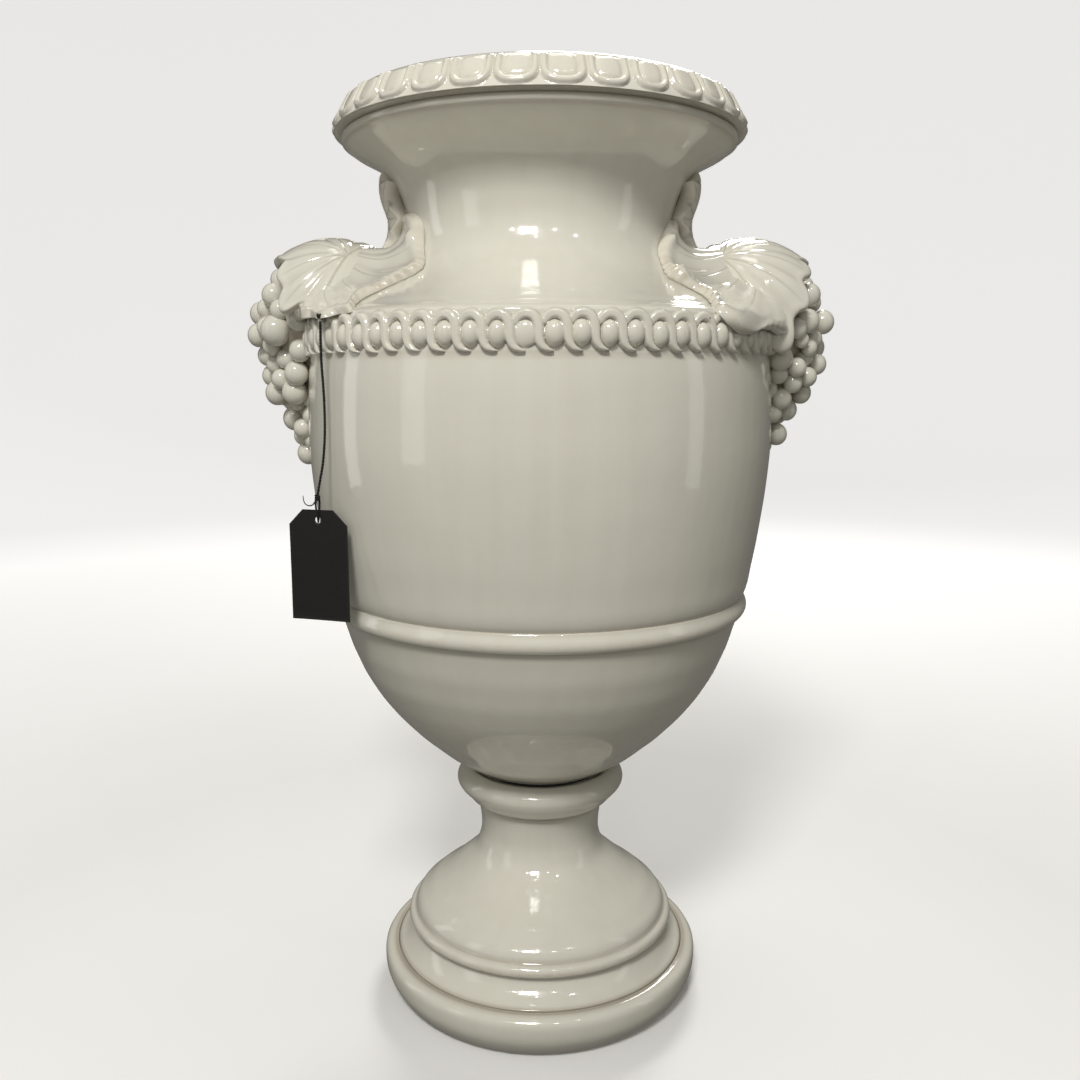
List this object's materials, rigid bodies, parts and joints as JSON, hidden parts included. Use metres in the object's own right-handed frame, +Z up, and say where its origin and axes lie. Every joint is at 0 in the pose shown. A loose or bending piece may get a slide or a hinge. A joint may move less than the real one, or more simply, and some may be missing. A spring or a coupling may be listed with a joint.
{
  "type": "urn vase",
  "caption": "Footed urn vase in cream glaze with an egg-moulded rim, a beaded shoulder band, vine-leaf and grape handles, a bolted foot and a blank swing tag on a cord.",
  "frame": {"origin": "middle of the base's underside, on the floor", "axes": "+Z up the vase's axis, -Y towards the front, the grape handles at -X and +X"},
  "size_m": [0.513, 0.413, 0.8],
  "materials": {
    "glaze": "gloss",
    "steel": "satin",
    "rubber": "matte",
    "card": "matte",
    "cord": "matte"
  },
  "bodies": {
    "urn": {"base_ring": "glaze", "pedestal": "glaze", "foot_collar": "glaze", "bowl": "glaze", "girth_rib": "glaze", "drum": "glaze", "shoulder_neck": "glaze", "rim": "glaze", "rim_shields": "glaze", "rim_eggs": "glaze", "shoulder_beads": "glaze", "shoulder_straps": "glaze", "right_hood_leaf": "glaze", "right_shoulder_leaf": "glaze", "right_neck_leaf": "glaze", "right_grape_bunch": "glaze", "left_hood_leaf": "glaze", "left_shoulder_leaf": "glaze", "left_neck_leaf": "glaze", "left_grape_bunch": "glaze", "tie_rod": "steel", "bowl_washer": "steel", "bowl_nut": "steel", "foot_washer": "steel", "foot_nut": "steel", "seat_gasket": "rubber", "bowl_seal": "rubber", "cord_knot": "cord"},
    "hanging_cord": {"tag_cord": "cord"},
    "tag": {"swing_tag": "card", "tag_loop": "cord"}
  },
  "joints": [
    {"name": "tag_swing", "type": "hinge", "parent": "urn", "child": "hanging_cord", "pos_m": [-0.168, -0.1286, 0.6137], "axis": [-0.608, 0.794, 0], "range_deg": [0, 75]},
    {"name": "tag_twist", "type": "hinge", "parent": "hanging_cord", "child": "tag", "pos_m": [-0.1746, -0.13, 0.479], "axis": [0, 0, -1], "range_deg": [0, 75]}
  ]
}
